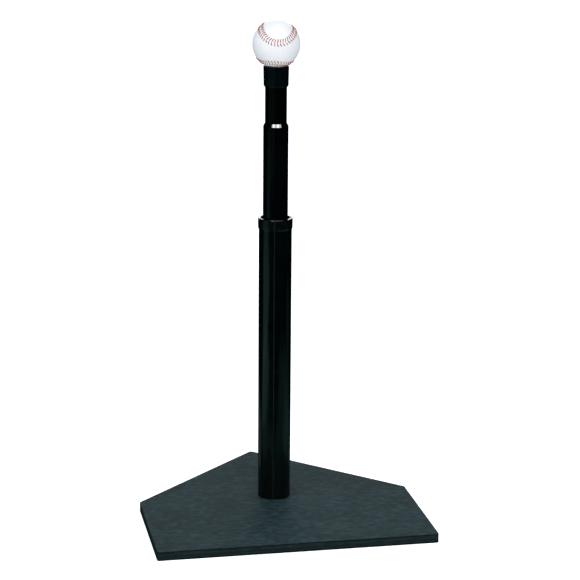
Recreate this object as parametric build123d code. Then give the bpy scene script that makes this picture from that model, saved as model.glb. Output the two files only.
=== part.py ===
from build123d import *
from math import cos, pi, radians, sin, sqrt
import os

os.makedirs("parts", exist_ok=True)

# Batting tee: a home-plate base, a lower tube, a sliding upper stem with a ball cup, and a baseball.
# Millimetres, +Z up. The origin is on the floor on the tube's axis, with the plate's point towards +Y.

# Base plate
plate_width = 431.8          # 17 inches across the front edge
plate_side = 215.9           # 8.5 inches along each straight side
plate_thickness = 14.5
plate_corner_radius = 4.0
plate_point_radius = 5.0
plate_edge_radius = 0.8

# Lower tube and its foot
tube_wall = 3.15
tube_top = 464.4             # height of the tube's end above the floor
foot_flange = 14.25          # how far the foot stands out round the tube
foot_thickness = 6.0
foot_above_floor = 1.5
foot_plug_height = 30.0
foot_plug_wall = 4.0

# Collar over the tube's end
collar_wall = 1.1            # outside the tube
collar_height = 17.8
collar_lip = 4.0             # above the tube's end
collar_rounding = 0.8
collar_taper_height = 3.0    # at the collar's lower edge
collar_taper_depth = 0.9

# Liner, guide bush and grip rings inside the lower tube
liner_wall = 1.5
bush_wall = 2.97
bush_length = 71.7
bush_below_tube_top = 9.0
grip_ring_width = 3.5
grip_ring_depth = 1.6
grip_ring_pitch = 46.0       # between the two rings
grip_ring_inset = 12.0       # top ring below the bush's top

# Upper stem, at the height it is set to at rest
seat_height = 704.0          # top of the cup above the floor
raise_travel = 110.0         # from here up to the stop
core_diameter = 33.6
core_wall = 3.0
sleeve_wall = 2.65
shoulder_height = 4.8
neck_length = 55.5           # bare core tube between the shoulder and the cup
end_plug_flange = 3.0
end_plug_depth = 22.0

# Guide ring on the stem's lower end
guide_length = 24.7
friction_ring_width = 4.0
friction_ring_depth = 1.5

# Ball cup
cup_height = 32.3
cup_wall = 2.15
cup_flare = 0.6              # wider at the rim, on the radius
cup_chamfer_height = 2.4
cup_chamfer_depth = 1.6
cup_cover_of_tube = 17.4     # length pushed over the core tube
cup_ledge_thickness = 2.0
cup_ledge_overhang = 2.0     # inside the core tube's bore
cup_lip = 2.8                # thickness at the rim
cup_mouth_taper = 1.0
cup_rim_rounding = 1.0

# Baseball: the pill from the middle out, then the layers from the outside in
ball_diameter = 72.9
cork_radius = 10.3
pill_split_radius = 13.8     # black rubber inside, red rubber outside
pill_radius = 17.4
cover_thickness = 1.3
cotton_thickness = 0.5
outer_wool_thickness = 1.7
white_wool_thickness = 1.8   # the grey wool fills what is left
seam_points = 24             # points that the seam's curve passes through
stitch_pairs = 108
stitch_diameter = 0.8
stitch_start = 0.5           # from the seam to the stitch's inner end
stitch_reach = 4.2           # from the seam to the needle hole
stitch_lean = 1.9            # how far a stitch runs along the seam
seam_waist = 55.6            # degrees across the narrow part of a panel
ball_turn = -10.4            # where the narrow part faces, round +Z from -Y
ball_tilt = -18.5            # how far it looks above the horizontal
ball_roll = -4.0             # about its own middle

# Fits
press_gap = 0.1              # pieces pressed, moulded or glued together
running_gap = 0.08           # shafts and bushes that slide or turn, on the radius
soft_gap = 0.3               # rubber or leather beside a piece that moves
ring_nip = 0.02              # a gripping ring stands this much nearer than its bush

# Radii that follow, from the core tube outwards
core_radius = core_diameter / 2
core_bore = core_radius - core_wall
guide_bore = core_radius + running_gap
sleeve_radius = core_radius + sleeve_wall
bush_bore = sleeve_radius + running_gap
liner_radius = bush_bore + bush_wall
liner_bore = liner_radius - liner_wall
guide_radius = liner_bore - running_gap
tube_bore = liner_radius + press_gap
tube_radius = tube_bore + tube_wall
collar_radius = tube_radius + press_gap + collar_wall
foot_radius = tube_radius + foot_flange
cup_grip = core_radius + press_gap
cup_radius = cup_grip + cup_wall
rim_radius = cup_radius + cup_flare
mouth_radius = rim_radius - cup_lip

# Heights that follow
counterbore_depth = foot_above_floor + foot_thickness + press_gap
foot_plug_top = foot_above_floor + foot_plug_height
collar_top = tube_top + collar_lip
collar_bottom = collar_top - collar_height
bush_top = tube_top - bush_below_tube_top
bush_bottom = bush_top - bush_length
guide_top = bush_bottom - soft_gap - raise_travel
guide_bottom = guide_top - guide_length
stem_bottom = guide_bottom - soft_gap
cup_bottom = seat_height - cup_height
core_top = cup_bottom + cup_cover_of_tube
shoulder_top = cup_bottom - neck_length

# The plate and the ball
plate_sharp_depth = plate_side + plate_width / 2
plate_depth = plate_sharp_depth - plate_point_radius * (sqrt(2) - 1)
ball_radius = ball_diameter / 2
cotton_radius = ball_radius - cover_thickness - press_gap
outer_wool_radius = cotton_radius - cotton_thickness - press_gap
white_wool_radius = outer_wool_radius - outer_wool_thickness
grey_wool_radius = white_wool_radius - white_wool_thickness
ball_centre = seat_height + sqrt((ball_radius + soft_gap) ** 2 - mouth_radius ** 2)


def turned(*points):
    """A solid of revolution about Z, from its outline as (radius, height) corners."""
    outline = Polyline(*[(r, 0, z) for r, z in points], close=True)
    return revolve(make_face(outline), Axis.Z)


def ring(outer, inner, bottom, top):
    return turned((inner, bottom), (outer, bottom), (outer, top), (inner, top))


def circles_at(solid, radius, height):
    """The circular edges of one radius at one height."""
    edges = solid.edges().filter_by(GeomType.CIRCLE)
    return [e for e in edges if abs(e.radius - radius) < 1e-6 and abs(e.center().Z - height) < 1e-6]


def base_plate():
    half = plate_width / 2
    front = -plate_depth / 2
    shoulder = front + plate_side
    point = front + plate_sharp_depth
    outline = Polyline((-half, front), (half, front), (half, shoulder), (0, point), (-half, shoulder), close=True)
    plate = extrude(make_face(outline), plate_thickness)
    uprights = plate.edges().filter_by(Axis.Z)
    tip = uprights.sort_by(Axis.Y)[-1]
    plate = fillet(tip, plate_point_radius)
    corners = plate.edges().filter_by(Axis.Z).filter_by(lambda e: abs(e.center().X) > half - 1)
    plate = fillet(corners, plate_corner_radius)
    plate = fillet(plate.faces().sort_by(Axis.Z)[-1].edges(), plate_edge_radius)
    plate -= ring(foot_radius + press_gap, 0, 0, counterbore_depth)
    plate -= ring(tube_radius + press_gap, 0, 0, plate_thickness)
    return plate


def lower_tube():
    foot_top = foot_above_floor + foot_thickness
    return turned(
        (tube_bore, foot_above_floor),
        (foot_radius, foot_above_floor),
        (foot_radius, foot_top),
        (tube_radius, foot_top),
        (tube_radius, tube_top),
        (tube_bore, tube_top),
    )


def foot_plug():
    inside = liner_radius - foot_plug_wall
    floor = foot_above_floor + foot_plug_wall
    return turned(
        (0, foot_above_floor),
        (liner_radius, foot_above_floor),
        (liner_radius, foot_plug_top),
        (inside, foot_plug_top),
        (inside, floor),
        (0, floor),
    )


def tube_liner():
    return ring(liner_radius, liner_bore, foot_plug_top, bush_bottom)


def grip_ring_heights():
    top = bush_top - grip_ring_inset
    return [top, top - grip_ring_pitch]


def guide_bush():
    bush = ring(liner_radius, bush_bore, bush_bottom, bush_top)
    groove = bush_bore + grip_ring_depth
    for top in grip_ring_heights():
        bush -= ring(groove, 0, top - grip_ring_width, top)
    return chamfer(circles_at(bush, bush_bore, bush_top), running_gap * 10)


def grip_rings():
    outer = bush_bore + grip_ring_depth - press_gap
    inner = bush_bore - ring_nip
    lift = press_gap
    return [
        ring(outer, inner, top - grip_ring_width + lift, top - lift)
        for top in grip_ring_heights()
    ]


def collar():
    skirt_bore = tube_radius + press_gap
    body = turned(
        (skirt_bore, collar_bottom),
        (collar_radius - collar_taper_depth, collar_bottom),
        (collar_radius, collar_bottom + collar_taper_height),
        (collar_radius, collar_top),
        (tube_bore, collar_top),
        (tube_bore, tube_top),
        (skirt_bore, tube_top),
    )
    rims = circles_at(body, collar_radius, collar_top) + circles_at(body, tube_bore, collar_top)
    return fillet(rims, collar_rounding)


def guide_ring():
    body = ring(guide_radius, guide_bore, guide_bottom, guide_top)
    middle = (guide_bottom + guide_top) / 2
    half = friction_ring_width / 2
    groove = guide_radius - friction_ring_depth
    body -= ring(guide_radius, groove, middle - half, middle + half)
    return body


def friction_ring():
    middle = (guide_bottom + guide_top) / 2
    half = friction_ring_width / 2 - press_gap
    inner = guide_radius - friction_ring_depth + press_gap
    return ring(guide_radius + ring_nip, inner, middle - half, middle + half)


def core_tube():
    return ring(core_radius, core_bore, stem_bottom, core_top)


def stem_sleeve():
    """Rubber on the core tube, coned down to the bare neck."""
    bore = core_radius
    return turned(
        (bore, guide_top + soft_gap),
        (sleeve_radius, guide_top + soft_gap),
        (sleeve_radius, shoulder_top - shoulder_height),
        (bore + press_gap, shoulder_top),
        (bore, shoulder_top),
    )


def end_plug():
    spigot = core_bore - press_gap
    inside = spigot - core_wall
    flange_bottom = stem_bottom - end_plug_flange
    return turned(
        (0, flange_bottom),
        (sleeve_radius, flange_bottom),
        (sleeve_radius, stem_bottom),
        (spigot, stem_bottom),
        (spigot, stem_bottom + end_plug_depth),
        (inside, stem_bottom + end_plug_depth),
        (inside, stem_bottom),
        (0, stem_bottom),
    )


def ball_cup():
    """Cup pushed over the core tube, with a ledge on the tube's end and a seat for the ball."""
    ledge = core_bore - cup_ledge_overhang
    ledge_top = core_top + cup_ledge_thickness
    body = turned(
        (cup_grip, cup_bottom),
        (cup_radius - cup_chamfer_depth, cup_bottom),
        (cup_radius, cup_bottom + cup_chamfer_height),
        (rim_radius, seat_height),
        (mouth_radius, seat_height),
        (mouth_radius - cup_mouth_taper, ledge_top),
        (ledge, ledge_top),
        (ledge, core_top),
        (cup_grip, core_top),
    )
    body = fillet(circles_at(body, rim_radius, seat_height), cup_rim_rounding)
    return body - Pos(0, 0, ball_centre) * Sphere(ball_radius + soft_gap)


def ball_frame():
    """The ball's own axes: Z through the narrow part of a panel, Y across it."""
    turn = radians(ball_turn)
    tilt = radians(ball_tilt)
    out = Vector(sin(turn) * cos(tilt), -cos(turn) * cos(tilt), sin(tilt))
    level = Vector(cos(turn), sin(turn), 0)
    plane = Plane((0, 0, ball_centre), x_dir=level, z_dir=out)
    return plane.rotated((0, 0, ball_roll))


def seam_point(t, radius):
    """A point of the seam, which runs round the sphere once as t goes from 0 to 2 pi."""
    waist = sin(radians(seam_waist / 2))
    wide = (1 + waist) / 2
    small = (1 - waist) / 2
    x = wide * sin(t) + small * sin(3 * t)
    y = wide * cos(t) - small * cos(3 * t)
    z = 2 * sqrt(wide * small) * cos(2 * t)
    return Vector(x, y, z) * radius


def shell(outer, inner):
    return Sphere(outer) - Sphere(inner)


def ball_layers():
    layers = {"cork_centre": Sphere(cork_radius)}
    edges = [
        ("black_rubber_shell", cork_radius, pill_split_radius),
        ("red_rubber_shell", pill_split_radius, pill_radius),
        ("grey_wool_winding", pill_radius, grey_wool_radius),
        ("white_wool_winding", grey_wool_radius, white_wool_radius),
        ("outer_wool_winding", white_wool_radius, outer_wool_radius),
        ("cotton_winding", outer_wool_radius, cotton_radius),
    ]
    for name, inner, outer in edges:
        layers[name] = shell(outer, inner + press_gap)
    return layers


def cover_panels():
    """The two interlocking leather panels, split along the seam."""
    inner = ball_radius - cover_thickness
    whole = shell(ball_radius, inner)
    steps = [2 * pi * n / seam_points for n in range(seam_points)]
    low = Edge.make_spline([seam_point(t, inner - cover_thickness) for t in steps], periodic=True)
    high = Edge.make_spline([seam_point(t, ball_radius + cover_thickness) for t in steps], periodic=True)
    cut = Face.make_surface_from_curves(low, high)
    return whole.split(cut, keep=Keep.ALL).solids().sort_by(lambda s: s.center().Z)


def seam_stitches():
    """Each pair leans both ways from the seam, so the row reads as a chain of Vs."""
    legs = []
    radius = ball_radius + stitch_diameter / 2 + press_gap
    for n in range(stitch_pairs):
        t = 2 * pi * n / stitch_pairs
        here = seam_point(t, radius)
        along = (seam_point(t + 0.01, radius) - here).normalized()
        across = here.cross(along).normalized()
        for side in (-1, 1):
            start = (here + across * side * stitch_start).normalized() * radius
            end = (here + across * side * stitch_reach + along * stitch_lean).normalized() * radius
            run = end - start
            leg = Cylinder(stitch_diameter / 2, run.length)
            legs.append(Plane((start + end) / 2, z_dir=run) * leg)
    return legs


def save(name, shape):
    export_step(shape, f"parts/{name}.step")


save("base_plate", base_plate())
save("lower_tube", lower_tube())
save("foot_plug", foot_plug())
save("tube_liner", tube_liner())
save("guide_bush", guide_bush())
save("grip_rings", Compound(children=grip_rings()))
save("collar", collar())

save("guide_ring", guide_ring())
save("friction_ring", friction_ring())

save("core_tube", core_tube())
save("stem_sleeve", stem_sleeve())
save("end_plug", end_plug())
save("ball_cup", ball_cup())

ball = ball_frame()
for name, layer in ball_layers().items():
    save(name, ball * layer)
for name, panel in zip(("cover_panel_a", "cover_panel_b"), cover_panels()):
    save(name, ball * panel)
save("seam_stitches", Compound(children=[ball * leg for leg in seam_stitches()]))
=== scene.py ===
# Batting tee: rubber home-plate base, two-part rubber upright with a ball cup, and a baseball
import bpy
from math import atan2, cos, exp, pi, radians, sin, sqrt
from mathutils import Matrix, Vector
from mathutils.kdtree import KDTree


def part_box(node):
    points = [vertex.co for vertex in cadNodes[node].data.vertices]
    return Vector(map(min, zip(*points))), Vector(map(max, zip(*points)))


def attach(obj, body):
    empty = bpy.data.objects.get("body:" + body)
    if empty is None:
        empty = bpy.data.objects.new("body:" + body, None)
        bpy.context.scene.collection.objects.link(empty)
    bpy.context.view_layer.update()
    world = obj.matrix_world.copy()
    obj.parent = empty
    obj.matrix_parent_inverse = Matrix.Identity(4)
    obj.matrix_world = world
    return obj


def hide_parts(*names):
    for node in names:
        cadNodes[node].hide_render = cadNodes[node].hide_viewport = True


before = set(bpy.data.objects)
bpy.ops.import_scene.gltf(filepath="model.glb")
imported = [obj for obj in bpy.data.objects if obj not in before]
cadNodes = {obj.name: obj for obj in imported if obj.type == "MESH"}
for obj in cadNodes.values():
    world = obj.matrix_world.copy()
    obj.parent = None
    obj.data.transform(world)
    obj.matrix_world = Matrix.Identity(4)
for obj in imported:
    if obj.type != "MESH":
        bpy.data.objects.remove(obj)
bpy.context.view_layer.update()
mm = 0.001
noiseSpan = (0.3, 0.7)  # what the noise mostly stays between
print("frame loaded with", len(cadNodes), "nodes")


def fromHex(code):
    # sRGB hex to the linear colour that the shaders want
    channels = [int(code[i:i + 2], 16) / 255 for i in (1, 3, 5)]
    linear = [c / 12.92 if c <= 0.04045 else ((c + 0.055) / 1.055) ** 2.4 for c in channels]
    return (*linear, 1.0)


def addNode(tree, kind, values=None, links=None, **settings):
    node = tree.nodes.new(kind)
    for key, value in settings.items():
        setattr(node, key, value)
    for key, value in (values or {}).items():
        node.inputs[key].default_value = value
    for key, source in (links or {}).items():
        tree.links.new(source, node.inputs[key])
    return node


def calculate(tree, operation, first, second=0.0):
    # a maths node on two sockets or numbers
    node = addNode(tree, "ShaderNodeMath", operation=operation)
    for slot, source in enumerate((first, second)):
        if isinstance(source, (int, float)):
            node.inputs[slot].default_value = source
        else:
            tree.links.new(source, node.inputs[slot])
    return node.outputs[0]


def startMaterial(name, shaderValues):
    material = bpy.data.materials.new(name)
    material.use_nodes = True
    tree = material.node_tree
    tree.nodes.clear()
    shader = addNode(tree, "ShaderNodeBsdfPrincipled", shaderValues)
    addNode(tree, "ShaderNodeOutputMaterial", links={"Surface": shader.outputs[0]})
    place = addNode(tree, "ShaderNodeTexCoord").outputs["Object"]
    return material, tree, shader, place


def colourRamp(tree, factor, stops):
    ramp = addNode(tree, "ShaderNodeValToRGB", links={"Fac": factor})
    elements = ramp.color_ramp.elements
    elements[0].position, elements[0].color = stops[0][0], fromHex(stops[0][1])
    elements[1].position, elements[1].color = stops[-1][0], fromHex(stops[-1][1])
    for position, code in stops[1:-1]:
        elements.new(position).color = fromHex(code)
    return ramp.outputs["Color"]


def tinted(tree, colour, tone, share):
    # the colour moved towards the tone by the share that a socket gives
    values, links = {7: fromHex(tone)}, {0: share, 6: colour}
    return addNode(tree, "ShaderNodeMix", values, links, data_type="RGBA").outputs[2]


def remap(tree, value, low, high, toLow=0.0, toHigh=1.0):
    limits = {"From Min": low, "From Max": high, "To Min": toLow, "To Max": toHigh}
    return addNode(tree, "ShaderNodeMapRange", limits, {"Value": value}).outputs[0]


def scaleFor(sizeMm):
    return 1 / (sizeMm * mm)


def noiseAt(tree, vector, sizeMm, detail, rough=0.55):
    # sizeMm is the rough width of one blotch
    values = {"Scale": scaleFor(sizeMm), "Detail": detail, "Roughness": rough}
    return addNode(tree, "ShaderNodeTexNoise", values, {"Vector": vector}).outputs["Fac"]


def addBump(tree, shader, layers):
    # layers are (height socket, strength, depth in millimetres), finest last
    normal = None
    for height, strength, depthMm in layers:
        links = {"Height": height}
        if normal:
            links["Normal"] = normal
        values = {"Strength": strength, "Distance": depthMm * mm}
        normal = addNode(tree, "ShaderNodeBump", values, links).outputs[0]
    tree.links.new(normal, shader.inputs["Normal"])


def meshObject(name, vertices, faces, smooth=True):
    mesh = bpy.data.meshes.new(name)
    mesh.from_pydata(vertices, [], faces)
    mesh.validate()
    mesh.polygons.foreach_set("use_smooth", [smooth] * len(mesh.polygons))
    piece = bpy.data.objects.new(name, mesh)
    bpy.context.scene.collection.objects.link(piece)
    return piece


# angles are in degrees; azimuth 0 looks from -Y and grows towards +X
view = {
    "azimuth": -10.731, "elevation": 20.322, "distance": 3.2324,  # from the foot of the tube
    "lookAzimuth": -11.175, "lookElevation": 14.258, "roll": 0.43,
    "lens": 124.303, "sensor": 36.0, "clipEnd": 100,
}


def direction(azimuth, elevation):
    a, e = radians(azimuth), radians(elevation)
    return Vector((sin(a) * cos(e), -cos(a) * cos(e), sin(e)))


def makeCamera():
    data = bpy.data.cameras.new("viewCamera")
    data.lens = view["lens"]
    data.sensor_width = view["sensor"]
    data.clip_end = view["clipEnd"]
    camera = bpy.data.objects.new("viewCamera", data)
    back = direction(view["lookAzimuth"], view["lookElevation"])
    right = Vector((0, 0, 1)).cross(back).normalized()
    right = Matrix.Rotation(radians(view["roll"]), 3, back) @ right
    up = back.cross(right)
    axes = Matrix((right, up, back)).transposed().to_4x4()
    place = direction(view["azimuth"], view["elevation"]) * view["distance"]
    camera.matrix_world = Matrix.Translation(place) @ axes
    bpy.context.scene.collection.objects.link(camera)
    bpy.context.scene.camera = camera


studio = {
    "sky": "#e6effa", "skyStrength": 0.85,
    "floorSize": 80.0, "floor": "#fbfbfb", "floorGlow": 0.5,
    "aim": 0.6,  # height above the floor that the boxes face
    "panelHeight": 0.004,  # of the floor panels
}
softBoxes = {
    # azimuth, elevation, distance, width, height, radiance, tint, lights matt surfaces, shows in gloss
    "frontBox": (-11, 43, 3.2, 3.4, 0.5, 7.0, "#ffffff", True, False),
    "fillBox": (-7, 2, 3.0, 1.2, 1.2, 2.4, "#fff6f0", True, False),
    "topBox": (-25, 74, 3.0, 1.6, 1.6, 2.6, "#ffffff", True, True),
    "backBox": (169, 18, 3.6, 2.6, 1.0, 1.6, "#ffffff", True, True),
    "leftGlintStrip": (-41, 45.5, 3.2, 1.1, 0.7, 14.0, "#ffffff", False, True),
    "glintStrip": (-11, 48, 3.2, 2.8, 0.7, 14.0, "#ffffff", False, True),
    "rightGlintStrip": (27, 44.5, 3.2, 1.9, 0.7, 14.0, "#ffffff", False, True),
    "lipStrip": (169, 14.2, 3.6, 2.2, 0.2, 14.0, "#ffffff", False, True),
}
floorPanels = {
    # dim panels that lie round the tee: azimuth, nearest and furthest distance, width, radiance, tint,
    # and where they aren't both true, lights matt surfaces and shows in gloss
    "nearLeftPanel": (-60, 0.1, 0.5, 0.3, 0.16, "#a8f4f0"),
    "leftPanel": (-76, 0.5, 1.0, 0.68, 0.36, "#a8f4f0"),
    "farLeftPanel": (-76, 1.0, 2.0, 1.15, 0.36, "#a8f4f0"),
    "sleevePanel": (-72, 2.2, 3.5, 2.6, 0.12, "#98f0e4"),
    "neckPanel": (-80, 3.6, 4.45, 0.5, 0.3, "#a8f4d8"),
    "cupPanel": (-38, 4.8, 5.5, 4.6, 0.2, "#88d8f0"),
    "rightPanel": (88, 0.1, 1.5, 0.4, 0.1, "#a8f4f0"),
    "nearRightPanel": (50, 0.2, 0.9, 0.7, 0.12, "#a8f4f0"),
    "rearPanel": (-170, 0.1, 1.6, 0.3, 0.14, "#d0ffff"),
    "bouncePanel": (-11, 0.3, 3.3, 3.0, 0.5, "#fffaf6", True, False),
}


def makeLight(name, azimuth, elevation, distance, width, height, radiance, tint, matt, gloss):
    data = bpy.data.lights.new(name, "AREA")
    data.shape = "RECTANGLE"
    data.size, data.size_y = width, height
    data.energy = radiance * pi * width * height
    data.color = fromHex(tint)[:3]
    light = bpy.data.objects.new(name, data)
    out = direction(azimuth, elevation)
    light.location = Vector((0, 0, studio["aim"])) + out * distance
    light.rotation_mode = "QUATERNION"
    light.rotation_quaternion = (-out).to_track_quat("-Z", "Y")
    light.visible_camera = False
    light.visible_diffuse = matt
    light.visible_glossy = gloss
    bpy.context.scene.collection.objects.link(light)
    return light


def makeFloorPanel(name, azimuth, near, far, width, radiance, tint, matt=True, gloss=True):
    # the tubes' walls mirror the ground beside them, so this gives them a long soft band
    light = makeLight(name, azimuth, 0, 1.0, width, far - near, radiance, tint, matt, gloss)
    light.location = direction(azimuth, 0) * (near + far) / 2 + Vector((0, 0, studio["panelHeight"]))
    light.rotation_mode = "XYZ"
    light.rotation_euler = (pi, 0, radians(-azimuth))


def makeStage():
    # black rubber mirrors only the boxes and panels: the white floor and the pale sky stay out of its gloss
    world = bpy.data.worlds.new("studioSky")
    world.use_nodes = True
    sky = world.node_tree.nodes["Background"]
    sky.inputs["Color"].default_value = fromHex(studio["sky"])
    sky.inputs["Strength"].default_value = studio["skyStrength"]
    world.cycles_visibility.glossy = False
    bpy.context.scene.world = world
    bpy.context.scene.view_settings.view_transform = "Standard"
    for name, numbers in softBoxes.items():
        makeLight(name, *numbers)
    for name, numbers in floorPanels.items():
        makeFloorPanel(name, *numbers)
    half = studio["floorSize"] / 2
    corners = [(-half, -half, 0), (half, -half, 0), (half, half, 0), (-half, half, 0)]
    floor = meshObject("studioFloor", corners, [(0, 1, 2, 3)], smooth=False)
    values = {"Roughness": 0.9, "Specular IOR Level": 0.0}
    paper, _, shader, _ = startMaterial("whitePaperSweep", values)
    shader.inputs["Base Color"].default_value = fromHex(studio["floor"])
    shader.inputs["Emission Color"].default_value = fromHex(studio["floor"])
    shader.inputs["Emission Strength"].default_value = studio["floorGlow"]
    floor.data.materials.append(paper)
    floor.visible_glossy = False
    floor.visible_diffuse = False


makeCamera()
makeStage()
print("camera, lights and floor made")


plate = {
    "tones": [(0.0, "#13211f"), (0.35, "#1b2d2f"), (0.60, "#213538"), (1.0, "#2c4347")],
    "toneSpan": (0.34, 0.66),  # noise values that give the first and the last tone
    # painted shade: faces that point sideways are darkened towards this tone, by this share
    "sideShadeTone": "#0e1718", "sideShadeShare": 0.75,
    "sideSpan": (0.25, 0.6),  # how far up a face looks where it is all edge, and where it is all top
    "blotch": 6.5, "cloud": 60.0, "grain": 1.3,  # millimetres
    "cloudShare": 0.2,
    "brush": 0.5,  # how far the blotches are drawn out from side to side
    "roughSpan": (0.64, 0.78),
    # dark lines on the edge at these heights: painted shade under the top edge, a layer line in the middle, painted
    # shade along the foot
    "shadeAndLayerLines": [(12.9, 0.4, "#04090a"), (6.0, 0.3, "#0a1112"), (0.6, 0.8, "#040708")],  # height, half width, tone
    "edgeLineWander": 0.5, "edgeLineBlur": 0.6,  # millimetres
}


def makePlateRubber():
    # crumb rubber pressed in layers: dull, dark blue-grey and blotchy, with a layer line along its edge; the edge
    # also carries painted shade, darker all over and in lines under the top edge and along the foot
    values = {"IOR": 1.52, "Roughness": 0.7, "Specular IOR Level": 0.07}
    material, tree, shader, place = startMaterial("pressedCrumbRubber", values)
    stretch = {"Scale": (plate["brush"], 1, 1)}
    brushed = addNode(tree, "ShaderNodeMapping", stretch, {"Vector": place}).outputs[0]
    blotches = noiseAt(tree, brushed, plate["blotch"], 5, 0.6)
    clouds = noiseAt(tree, place, plate["cloud"], 2)
    mixed = addNode(tree, "ShaderNodeMix", {0: plate["cloudShare"]}, {2: blotches, 3: clouds}).outputs[0]
    colour = colourRamp(tree, remap(tree, mixed, *plate["toneSpan"]), plate["tones"])
    height = addNode(tree, "ShaderNodeSeparateXYZ", links={"Vector": place}).outputs["Z"]
    facing = addNode(tree, "ShaderNodeNewGeometry").outputs["Normal"]
    upward = addNode(tree, "ShaderNodeSeparateXYZ", links={"Vector": facing}).outputs["Z"]
    onEdge = remap(tree, upward, *plate["sideSpan"], 1.0, 0.0)
    # painted shade on the faces that point sideways
    colour = tinted(tree, colour, plate["sideShadeTone"], calculate(tree, "MULTIPLY", onEdge, plate["sideShadeShare"]))
    # the top and bottom lines are painted shade, the middle one a layer line
    for level, halfWidth, tone in plate["shadeAndLayerLines"]:
        # each line wanders up and down by a fraction of a millimetre
        lowest, highest = (level - plate["edgeLineWander"]) * mm, (level + plate["edgeLineWander"]) * mm
        middle = remap(tree, clouds, *noiseSpan, lowest, highest)
        near = calculate(tree, "ABSOLUTE", calculate(tree, "SUBTRACT", height, middle))
        line = remap(tree, near, halfWidth * mm, (halfWidth + plate["edgeLineBlur"]) * mm, 1.0, 0.0)
        colour = tinted(tree, colour, tone, calculate(tree, "MULTIPLY", line, onEdge))
    tree.links.new(colour, shader.inputs["Base Color"])
    rough = remap(tree, blotches, *noiseSpan, *plate["roughSpan"])
    tree.links.new(rough, shader.inputs["Roughness"])
    grain = noiseAt(tree, place, plate["grain"], 3)
    addBump(tree, shader, [(blotches, 0.12, 0.5), (grain, 0.25, 0.25)])
    return material


# tones are the darkest and the lightest the piece goes; streak stretches the pattern up the tube
rubbers = {
    "extrudedTubeRubber": {"tones": ("#000202", "#020606"), "rough": 0.14, "streak": 0.03, "grain": 0.9},
    "extrudedSleeveRubber": {"tones": ("#000102", "#010405"), "rough": 0.11, "streak": 0.03, "grain": 0.9},
    "mouldedCupRubber": {"tones": ("#010405", "#030a0d"), "rough": 0.16, "streak": 0.7, "grain": 1.1},
    "mouldedCollarRubber": {"tones": ("#020606", "#070f0f"), "rough": 0.18, "streak": 0.6, "grain": 1.1},
    "softRingRubber": {"tones": ("#0c0c0c", "#151515"), "rough": 0.45, "streak": 1.0, "grain": 0.8},
    "solidBlackRubber": {"tones": ("#0d0d0d", "#181818"), "rough": 0.5, "streak": 1.0, "grain": 0.8},
    "solidRedRubber": {"tones": ("#7a1f1a", "#8f2a22"), "rough": 0.5, "streak": 1.0, "grain": 0.8},
    "extrudedPipePlastic": {"tones": ("#000101", "#010302"), "rough": 0.12, "streak": 0.05, "grain": 0.6},
}
rubberPattern = {
    "line": 3.2, "cloud": 35.0,  # millimetres
    "span": (0.75, 1.25),  # what the two noises together mostly stay between
    "smoother": 0.05, "rougher": 0.08,  # either side of a recipe's roughness
}
# a thin lighter upright line down the front of the tube and the collar, on the front side only
frontStreak = {
    "rubbers": ("extrudedTubeRubber", "mouldedCollarRubber"),
    "azimuth": -13.5, "tone": "#1c2c2c", "share": 0.38,
    "halfWidth": 0.35, "blur": 0.7, "frontBlur": 5.0,  # millimetres
}


def frontStreakMask(tree, place):
    # above 0 only on a thin upright line down the front of the tube
    out = direction(frontStreak["azimuth"], 0)
    aside = Vector((-out.y, out.x, 0))
    offset, forward = (
        addNode(tree, "ShaderNodeVectorMath", {1: way}, {0: place}, operation="DOT_PRODUCT").outputs["Value"]
        for way in (aside, out))
    widest = (frontStreak["halfWidth"] + frontStreak["blur"]) * mm
    near = calculate(tree, "ABSOLUTE", offset)
    line = remap(tree, near, frontStreak["halfWidth"] * mm, widest, frontStreak["share"], 0.0)
    return calculate(tree, "MULTIPLY", line, remap(tree, forward, 0.0, frontStreak["frontBlur"] * mm))


def makeRubber(name):
    # a soft gloss; extruded pieces show faint lines along their length
    recipe = rubbers[name]
    values = {"IOR": 1.5, "Roughness": recipe["rough"], "Specular IOR Level": 0.5}
    material, tree, shader, place = startMaterial(name, values)
    stretch = {"Scale": (1, 1, recipe["streak"])}
    stretched = addNode(tree, "ShaderNodeMapping", stretch, {"Vector": place}).outputs[0]
    lines = noiseAt(tree, stretched, rubberPattern["line"], 3, 0.6)
    cloud = noiseAt(tree, place, rubberPattern["cloud"], 3)
    both = calculate(tree, "ADD", lines, cloud)
    dark, light = recipe["tones"]
    colour = colourRamp(tree, remap(tree, both, *rubberPattern["span"]), [(0.0, dark), (1.0, light)])
    if name in frontStreak["rubbers"]:
        colour = tinted(tree, colour, frontStreak["tone"], frontStreakMask(tree, place))
    tree.links.new(colour, shader.inputs["Base Color"])
    smoothest = recipe["rough"] - rubberPattern["smoother"]
    roughest = recipe["rough"] + rubberPattern["rougher"]
    rough = remap(tree, both, *rubberPattern["span"], smoothest, roughest)
    tree.links.new(rough, shader.inputs["Roughness"])
    grain = noiseAt(tree, place, recipe["grain"], 3)
    addBump(tree, shader, [(lines, 0.05, 0.2), (grain, 0.06, 0.1)])
    return material


turnedNylon = {
    "tones": [(0.35, "#cfcbc0"), (0.65, "#dad7cd")],
    "cloud": 18.0, "ring": 2.5,  # millimetres
}


def makeNylon():
    # milky off-white with fine lathe rings
    values = {"IOR": 1.53, "Roughness": 0.38, "Subsurface Weight": 0.15, "Subsurface Scale": 0.004}
    material, tree, shader, place = startMaterial("turnedNylon", values)
    cloud = noiseAt(tree, place, turnedNylon["cloud"], 3)
    tree.links.new(colourRamp(tree, cloud, turnedNylon["tones"]), shader.inputs["Base Color"])
    wave = {"Scale": scaleFor(turnedNylon["ring"]), "Distortion": 0.4}
    rings = addNode(tree, "ShaderNodeTexWave", wave, {"Vector": place}, bands_direction="Z").outputs["Fac"]
    addBump(tree, shader, [(rings, 0.2, 0.05)])
    return material


pressedCork = {
    "tones": [(0.1, "#b98c5c"), (0.55, "#9a6f45"), (0.8, "#5f3f26")],
    "crumb": 1.8,  # millimetres
}


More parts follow.
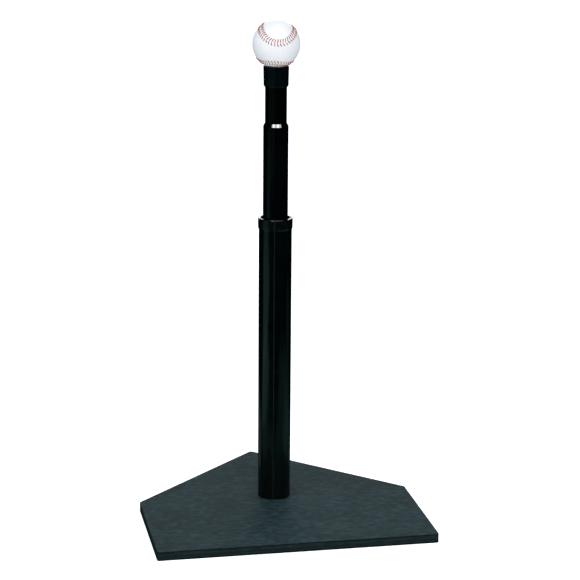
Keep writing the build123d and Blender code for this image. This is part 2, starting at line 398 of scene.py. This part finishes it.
def makeCork():
    # ground cork pressed with a binder: pale crumbs with darker gaps
    material, tree, shader, place = startMaterial("pressedGroundCork", {"IOR": 1.45, "Roughness": 0.8})
    cells = {"Scale": scaleFor(pressedCork["crumb"])}
    crumbs = addNode(tree, "ShaderNodeTexVoronoi", cells, {"Vector": place}).outputs["Distance"]
    tree.links.new(colourRamp(tree, crumbs, pressedCork["tones"]), shader.inputs["Base Color"])
    addBump(tree, shader, [(crumbs, 0.4, 0.3)])
    return material


yarns = {
    "woundGreyWool": {"dark": "#6f6d69", "light": "#8f8d88", "strand": 1.1},
    "woundWhiteWool": {"dark": "#c9c4b6", "light": "#e4e0d4", "strand": 1.0},
    "woundCottonYarn": {"dark": "#d3cdbd", "light": "#eae6da", "strand": 0.5},
}
yarnPattern = {
    "swirl": 14.0, "bend": 12.0, "fuzz": 0.5,  # millimetres
    "strandStep": 3.2,  # the wave's size over the strand's width
    "lightFrom": 0.7,
}


def makeYarn(name):
    # wound yarn: strands cross the ball in many directions, fuzzy and dull
    recipe = yarns[name]
    values = {"IOR": 1.5, "Roughness": 0.85, "Sheen Weight": 0.3, "Sheen Roughness": 0.5}
    material, tree, shader, place = startMaterial(name, values)
    noise = {"Scale": scaleFor(yarnPattern["swirl"]), "Detail": 1}
    swirl = addNode(tree, "ShaderNodeTexNoise", noise, {"Vector": place}).outputs["Color"]
    length = {"Scale": yarnPattern["bend"] * mm}
    bent = addNode(tree, "ShaderNodeVectorMath", length, {"Vector": swirl}, operation="SCALE").outputs[0]
    path = addNode(tree, "ShaderNodeVectorMath", links={0: place, 1: bent}, operation="ADD").outputs[0]
    wave = {"Scale": scaleFor(recipe["strand"] * yarnPattern["strandStep"]), "Distortion": 1.0}
    strands = addNode(tree, "ShaderNodeTexWave", wave, {"Vector": path}, bands_direction="DIAGONAL").outputs["Fac"]
    fuzz = noiseAt(tree, place, yarnPattern["fuzz"], 3)
    tones = [(0.0, recipe["dark"]), (yarnPattern["lightFrom"], recipe["light"])]
    tree.links.new(colourRamp(tree, strands, tones), shader.inputs["Base Color"])
    addBump(tree, shader, [(strands, 0.6, 0.4), (fuzz, 0.3, 0.1)])
    return material


finishes = {"base_plate": makePlateRubber()}
rubberNodes = {
    "extrudedTubeRubber": ["lower_tube"],
    "extrudedSleeveRubber": ["stem_sleeve"],
    "mouldedCupRubber": ["ball_cup"],
    "mouldedCollarRubber": ["collar"],
    "softRingRubber": ["grip_rings", "friction_ring"],
    "solidBlackRubber": ["black_rubber_shell"],
    "solidRedRubber": ["red_rubber_shell"],
    "extrudedPipePlastic": ["core_tube", "tube_liner", "guide_bush"],
}
for rubberName, nodeNames in rubberNodes.items():
    rubber = makeRubber(rubberName)
    for nodeName in nodeNames:
        finishes[nodeName] = rubber
nylon = makeNylon()
for nodeName in ("foot_plug", "guide_ring", "end_plug"):
    finishes[nodeName] = nylon
greyYarn = makeYarn("woundGreyWool")
finishes["cork_centre"] = makeCork()
finishes["grey_wool_winding"] = greyYarn
finishes["outer_wool_winding"] = greyYarn
finishes["white_wool_winding"] = makeYarn("woundWhiteWool")
finishes["cotton_winding"] = makeYarn("woundCottonYarn")
for nodeName, material in finishes.items():
    cadNodes[nodeName].data.materials.clear()
    cadNodes[nodeName].data.materials.append(material)
print("rubber, nylon, cork and yarn finished")


ball = {
    "turn": -10.4, "tilt": -18.5, "roll": -4.0,  # which way the panel's narrow part faces
    "waist": 55.6,  # degrees across the narrow part
    "rows": 220, "columns": 72, "edgeBias": 0.4,  # edgeBias crowds the columns towards the seam
    "seamSamples": 1440,
    "coverThickness": 1.3, "grooveDepth": 0.4, "grooveWidth": 0.55,  # millimetres, as are the rest
    "weltHeight": 0.3, "weltPlace": 1.5, "weltWidth": 1.2,
    "holeDepth": 0.22, "holeWidth": 0.6,
}
stitch = {
    "pairs": 88,
    "thread": 1.3, "start": 0.35, "reach": 5.2, "lean": 2.0, "lift": 1.35, "bury": 0.6,  # millimetres
    "crestReach": 0.5, "crestLean": 0.3,  # the arch's middle, as shares of reach and lean
    "archSteps": 6, "threadSides": 6, "lineSteps": 6,  # lineSteps is along the seam, for each pair
    "vary": 0.05, "seed": 4, "shadeSeed": 9,
    "ahead": 0.01,  # how far on the seam's direction is taken, in radians of its curve
}

coverLow = [min(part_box(n)[0][i] for n in ("cover_panel_a", "cover_panel_b")) for i in range(3)]
coverHigh = [max(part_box(n)[1][i] for n in ("cover_panel_a", "cover_panel_b")) for i in range(3)]
ballCentre = (Vector(coverLow) + Vector(coverHigh)) / 2
ballRadius = (coverHigh[2] - coverLow[2]) / 2


def ballAxes():
    out = direction(ball["turn"], ball["tilt"])
    level = Vector((cos(radians(ball["turn"])), sin(radians(ball["turn"])), 0))
    level = Matrix.Rotation(radians(ball["roll"]), 3, out) @ level
    return Matrix((level, out.cross(level), out)).transposed()


def seamPoint(t):
    # the seam on a sphere of radius 1, once round as t goes from 0 to 2 pi
    waist = sin(radians(ball["waist"] / 2))
    wide, small = (1 + waist) / 2, (1 - waist) / 2
    return Vector((wide * sin(t) + small * sin(3 * t), wide * cos(t) - small * cos(3 * t),
                   2 * sqrt(wide * small) * cos(2 * t)))


def treeOf(points):
    tree = KDTree(len(points))
    for i, point in enumerate(points):
        tree.insert(point, i)
    tree.balance()
    return tree


def stitchHoles():
    holes = []
    for n in range(stitch["pairs"]):
        t = 2 * pi * n / stitch["pairs"]
        here = seamPoint(t) * ballRadius
        along = (seamPoint(t + stitch["ahead"]) * ballRadius - here).normalized()
        across = here.cross(along).normalized()
        for side in (-1, 1):
            reach = here + (across * side * stitch["reach"] + along * stitch["lean"]) * mm
            holes.append(reach.normalized() * ballRadius)
    return holes


def panelGrid():
    # rows of great-circle arcs between the seam and its mirror image, on a sphere of radius 1
    rows, columns, bias = ball["rows"], ball["columns"], ball["edgeBias"]
    grid = []
    for i in range(1, rows):
        edge = seamPoint(-pi / 2 + pi * i / rows)
        middle = Vector((edge.x, 0, edge.z)).normalized()
        reach = atan2(edge.y, sqrt(edge.x ** 2 + edge.z ** 2))
        row = []
        for j in range(columns + 1):
            v = 2 * j / columns - 1
            angle = reach * ((1 - bias) * v + bias * sin(v * pi / 2))
            row.append(middle * cos(angle) + Vector((0, 1, 0)) * sin(angle))
        grid.append(row)
    return grid, seamPoint(-pi / 2), seamPoint(pi / 2)


def makePanel(name, flipped, seamTree, holeTree, leather):
    grid, firstTip, lastTip = panelGrid()
    points = [firstTip] + [p for row in grid for p in row] + [lastTip]
    if flipped:
        points = [Vector((p.y, p.x, -p.z)) for p in points]
    axes = ballAxes()

    def relief(point):
        gap = seamTree.find(point * ballRadius)[2] / mm
        hole = holeTree.find(point * ballRadius)[2] / mm
        groove = ball["grooveDepth"] * exp(-(gap / ball["grooveWidth"]) ** 2)
        welt = ball["weltHeight"] * exp(-((gap - ball["weltPlace"]) / ball["weltWidth"]) ** 2)
        dimple = ball["holeDepth"] * exp(-(hole / ball["holeWidth"]) ** 2)
        return (welt - groove - dimple) * mm

    outer = [ballCentre + axes @ (p * (ballRadius + relief(p))) for p in points]
    inner = [ballCentre + axes @ (p * (ballRadius - ball["coverThickness"] * mm)) for p in points]
    rows, width, count = len(grid), ball["columns"] + 1, len(points)
    faces = []
    for j in range(width - 1):
        faces.append((0, 1 + j, 2 + j))
        last = 1 + (rows - 1) * width + j
        faces.append((count - 1, last + 1, last))
    for i in range(rows - 1):
        for j in range(width - 1):
            a = 1 + i * width + j
            faces.append((a, a + width, a + width + 1, a + 1))
    rim = [0] + [1 + i * width for i in range(rows)] + [count - 1]
    rim += [(i + 1) * width for i in reversed(range(rows))]
    backFaces = [tuple(count + v for v in reversed(face)) for face in faces]
    walls = [(b, a, count + a, count + b) for a, b in zip(rim, rim[1:] + rim[:1])]
    piece = meshObject(name, outer + inner, faces + backFaces + walls)
    piece.data.materials.append(leather)
    return piece


whiteLeather = {
    "tones": [(0.3, "#dcdcdc"), (0.7, "#e5e4e3")],
    "cloud": 26.0, "pebble": 0.9, "crease": 3.5,  # millimetres
    "roughSpan": (0.44, 0.58),
}


def makeLeather():
    # tanned horsehide: a smooth pebble grain with a soft sheen
    values = {"IOR": 1.5, "Roughness": 0.5, "Specular IOR Level": 0.35}
    material, tree, shader, place = startMaterial("whiteTannedLeather", values)
    cloud = noiseAt(tree, place, whiteLeather["cloud"], 3)
    tree.links.new(colourRamp(tree, cloud, whiteLeather["tones"]), shader.inputs["Base Color"])
    cells = {"Scale": scaleFor(whiteLeather["pebble"])}
    pebbles = addNode(tree, "ShaderNodeTexVoronoi", cells, {"Vector": place}).outputs["Distance"]
    creases = noiseAt(tree, place, whiteLeather["crease"], 4)
    rough = remap(tree, creases, *noiseSpan, *whiteLeather["roughSpan"])
    tree.links.new(rough, shader.inputs["Roughness"])
    addBump(tree, shader, [(creases, 0.12, 0.15), (pebbles, 0.12, 0.08)])
    return material


waxedThread = {
    "tones": [(0.0, "#86300f"), (0.6, "#a64016"), (1.0, "#c05a26")],
    "twist": 1.6,  # millimetres
}


def makeThread():
    # twisted cotton, brick red, each stitch a little lighter or darker than the next
    values = {"IOR": 1.5, "Roughness": 0.55, "Specular IOR Level": 0.4}
    material, tree, shader, place = startMaterial("waxedRedThread", values)
    shade = addNode(tree, "ShaderNodeAttribute", attribute_name="stitchShade").outputs["Fac"]
    tree.links.new(colourRamp(tree, shade, waxedThread["tones"]), shader.inputs["Base Color"])
    wave = {"Scale": scaleFor(waxedThread["twist"])}
    twist = addNode(tree, "ShaderNodeTexWave", wave, {"Vector": place}, bands_direction="DIAGONAL").outputs["Fac"]
    addBump(tree, shader, [(twist, 0.4, 0.1)])
    return material


def makeStitchTree(thread):
    # a V of two arched threads at even steps along the seam, each facing straight out of the ball
    tree = bpy.data.node_groups.new("seamStitchTree", "GeometryNodeTree")
    face = tree.interface
    face.new_socket("Geometry", in_out="INPUT", socket_type="NodeSocketGeometry")
    sockets = {
        "Pairs": "Int", "Thread Radius": "Float", "Start": "Float", "Reach": "Float", "Lean": "Float",
        "Lift": "Float", "Bury": "Float", "Vary": "Float", "Centre": "Vector", "Seed": "Int",
    }
    for name, kind in sockets.items():
        face.new_socket(name, in_out="INPUT", socket_type="NodeSocket" + kind)
    face.new_socket("Geometry", in_out="OUTPUT", socket_type="NodeSocketGeometry")
    given = addNode(tree, "NodeGroupInput").outputs

    def pointAt(**parts):
        return addNode(tree, "ShaderNodeCombineXYZ", links=parts).outputs[0]

    profile = addNode(tree, "GeometryNodeCurvePrimitiveCircle", {"Resolution": stitch["threadSides"]},
                      {"Radius": given["Thread Radius"]}).outputs["Curve"]
    crestLean = calculate(tree, "MULTIPLY", given["Lean"], stitch["crestLean"])
    depth = calculate(tree, "MULTIPLY", given["Bury"], -1.0)
    legs = addNode(tree, "GeometryNodeJoinGeometry")
    for side in (-1.0, 1.0):
        crestReach = calculate(tree, "MULTIPLY", given["Reach"], side * stitch["crestReach"])
        start = pointAt(X=calculate(tree, "MULTIPLY", given["Start"], side), Z=depth)
        middle = pointAt(X=crestReach, Y=crestLean, Z=given["Lift"])
        end = pointAt(X=calculate(tree, "MULTIPLY", given["Reach"], side), Y=given["Lean"], Z=depth)
        arch = addNode(tree, "GeometryNodeCurveQuadraticBezier", {"Resolution": stitch["archSteps"]},
                       {"Start": start, "Middle": middle, "End": end}).outputs[0]
        tube = addNode(tree, "GeometryNodeCurveToMesh", {"Fill Caps": True},
                       {"Curve": arch, "Profile Curve": profile}).outputs[0]
        tree.links.new(tube, legs.inputs[0])
    seam = addNode(tree, "GeometryNodeMeshToCurve", links={"Mesh": given["Geometry"]}).outputs[0]
    steps = addNode(tree, "GeometryNodeCurveToPoints", links={"Curve": seam, "Count": given["Pairs"]}, mode="COUNT")
    position = addNode(tree, "GeometryNodeInputPosition").outputs[0]
    outward = addNode(tree, "ShaderNodeVectorMath", links={0: position, 1: given["Centre"]}, operation="SUBTRACT")
    upright = addNode(tree, "FunctionNodeAlignRotationToVector", links={"Vector": outward.outputs[0]}, axis="Z")
    turned = addNode(tree, "FunctionNodeAlignRotationToVector",
                     links={"Rotation": upright.outputs[0], "Vector": steps.outputs["Tangent"]},
                     axis="Y", pivot_axis="Z")
    smallest = calculate(tree, "SUBTRACT", 1.0, given["Vary"])
    largest = calculate(tree, "ADD", 1.0, given["Vary"])
    size = addNode(tree, "FunctionNodeRandomValue", data_type="FLOAT",
                   links={"Min": smallest, "Max": largest, "Seed": given["Seed"]})
    placed = addNode(tree, "GeometryNodeInstanceOnPoints",
                     links={"Points": steps.outputs["Points"], "Instance": legs.outputs[0],
                            "Rotation": turned.outputs[0], "Scale": size.outputs["Value"]})
    shade = addNode(tree, "FunctionNodeRandomValue", {"Seed": stitch["shadeSeed"]}, data_type="FLOAT")
    stored = addNode(tree, "GeometryNodeStoreNamedAttribute", {"Name": "stitchShade"},
                     {"Geometry": placed.outputs[0]}, data_type="FLOAT", domain="INSTANCE")
    tree.links.new(shade.outputs["Value"], stored.inputs["Value"])
    real = addNode(tree, "GeometryNodeRealizeInstances", links={"Geometry": stored.outputs[0]}).outputs[0]
    smooth = addNode(tree, "GeometryNodeSetShadeSmooth", links={"Geometry": real}).outputs[0]
    threaded = addNode(tree, "GeometryNodeSetMaterial", {"Material": thread}, {"Geometry": smooth}).outputs[0]
    addNode(tree, "NodeGroupOutput", links={"Geometry": threaded})
    return tree


def makeStitches(thread):
    axes = ballAxes()
    steps = stitch["lineSteps"] * stitch["pairs"]
    line = [ballCentre + axes @ (seamPoint(2 * pi * n / steps) * ballRadius) for n in range(steps)]
    mesh = bpy.data.meshes.new("seamStitches")
    mesh.from_pydata(line, [(n, (n + 1) % steps) for n in range(steps)], [])
    piece = bpy.data.objects.new("seamStitches", mesh)
    bpy.context.scene.collection.objects.link(piece)
    tree = makeStitchTree(thread)
    modifier = piece.modifiers.new("stitches", "NODES")
    modifier.node_group = tree
    sizes = {
        "Pairs": stitch["pairs"], "Thread Radius": stitch["thread"] / 2 * mm, "Start": stitch["start"] * mm,
        "Reach": stitch["reach"] * mm, "Lean": stitch["lean"] * mm, "Lift": stitch["lift"] * mm,
        "Bury": stitch["bury"] * mm, "Vary": stitch["vary"], "Centre": tuple(ballCentre), "Seed": stitch["seed"],
    }
    for socket in tree.interface.items_tree:
        if socket.in_out == "INPUT" and socket.name in sizes:
            modifier[socket.identifier] = sizes[socket.name]
    bpy.context.view_layer.update()
    depsgraph = bpy.context.evaluated_depsgraph_get()
    plain = bpy.data.meshes.new_from_object(piece.evaluated_get(depsgraph), depsgraph=depsgraph)
    piece.modifiers.clear()
    piece.data = plain
    return piece


leather = makeLeather()
seamCount = ball["seamSamples"]
seamTree = treeOf([seamPoint(2 * pi * n / seamCount) * ballRadius for n in range(seamCount)])
holeTree = treeOf(stitchHoles())
for name, node, flipped in (("coverPanelA", "cover_panel_a", False), ("coverPanelB", "cover_panel_b", True)):
    panel = makePanel(name, flipped, seamTree, holeTree, leather)
    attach(panel, "ball")
    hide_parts(node)
stitches = makeStitches(makeThread())
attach(stitches, "ball")
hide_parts("seam_stitches")
print("ball covered and stitched with", len(stitches.data.polygons), "thread faces")
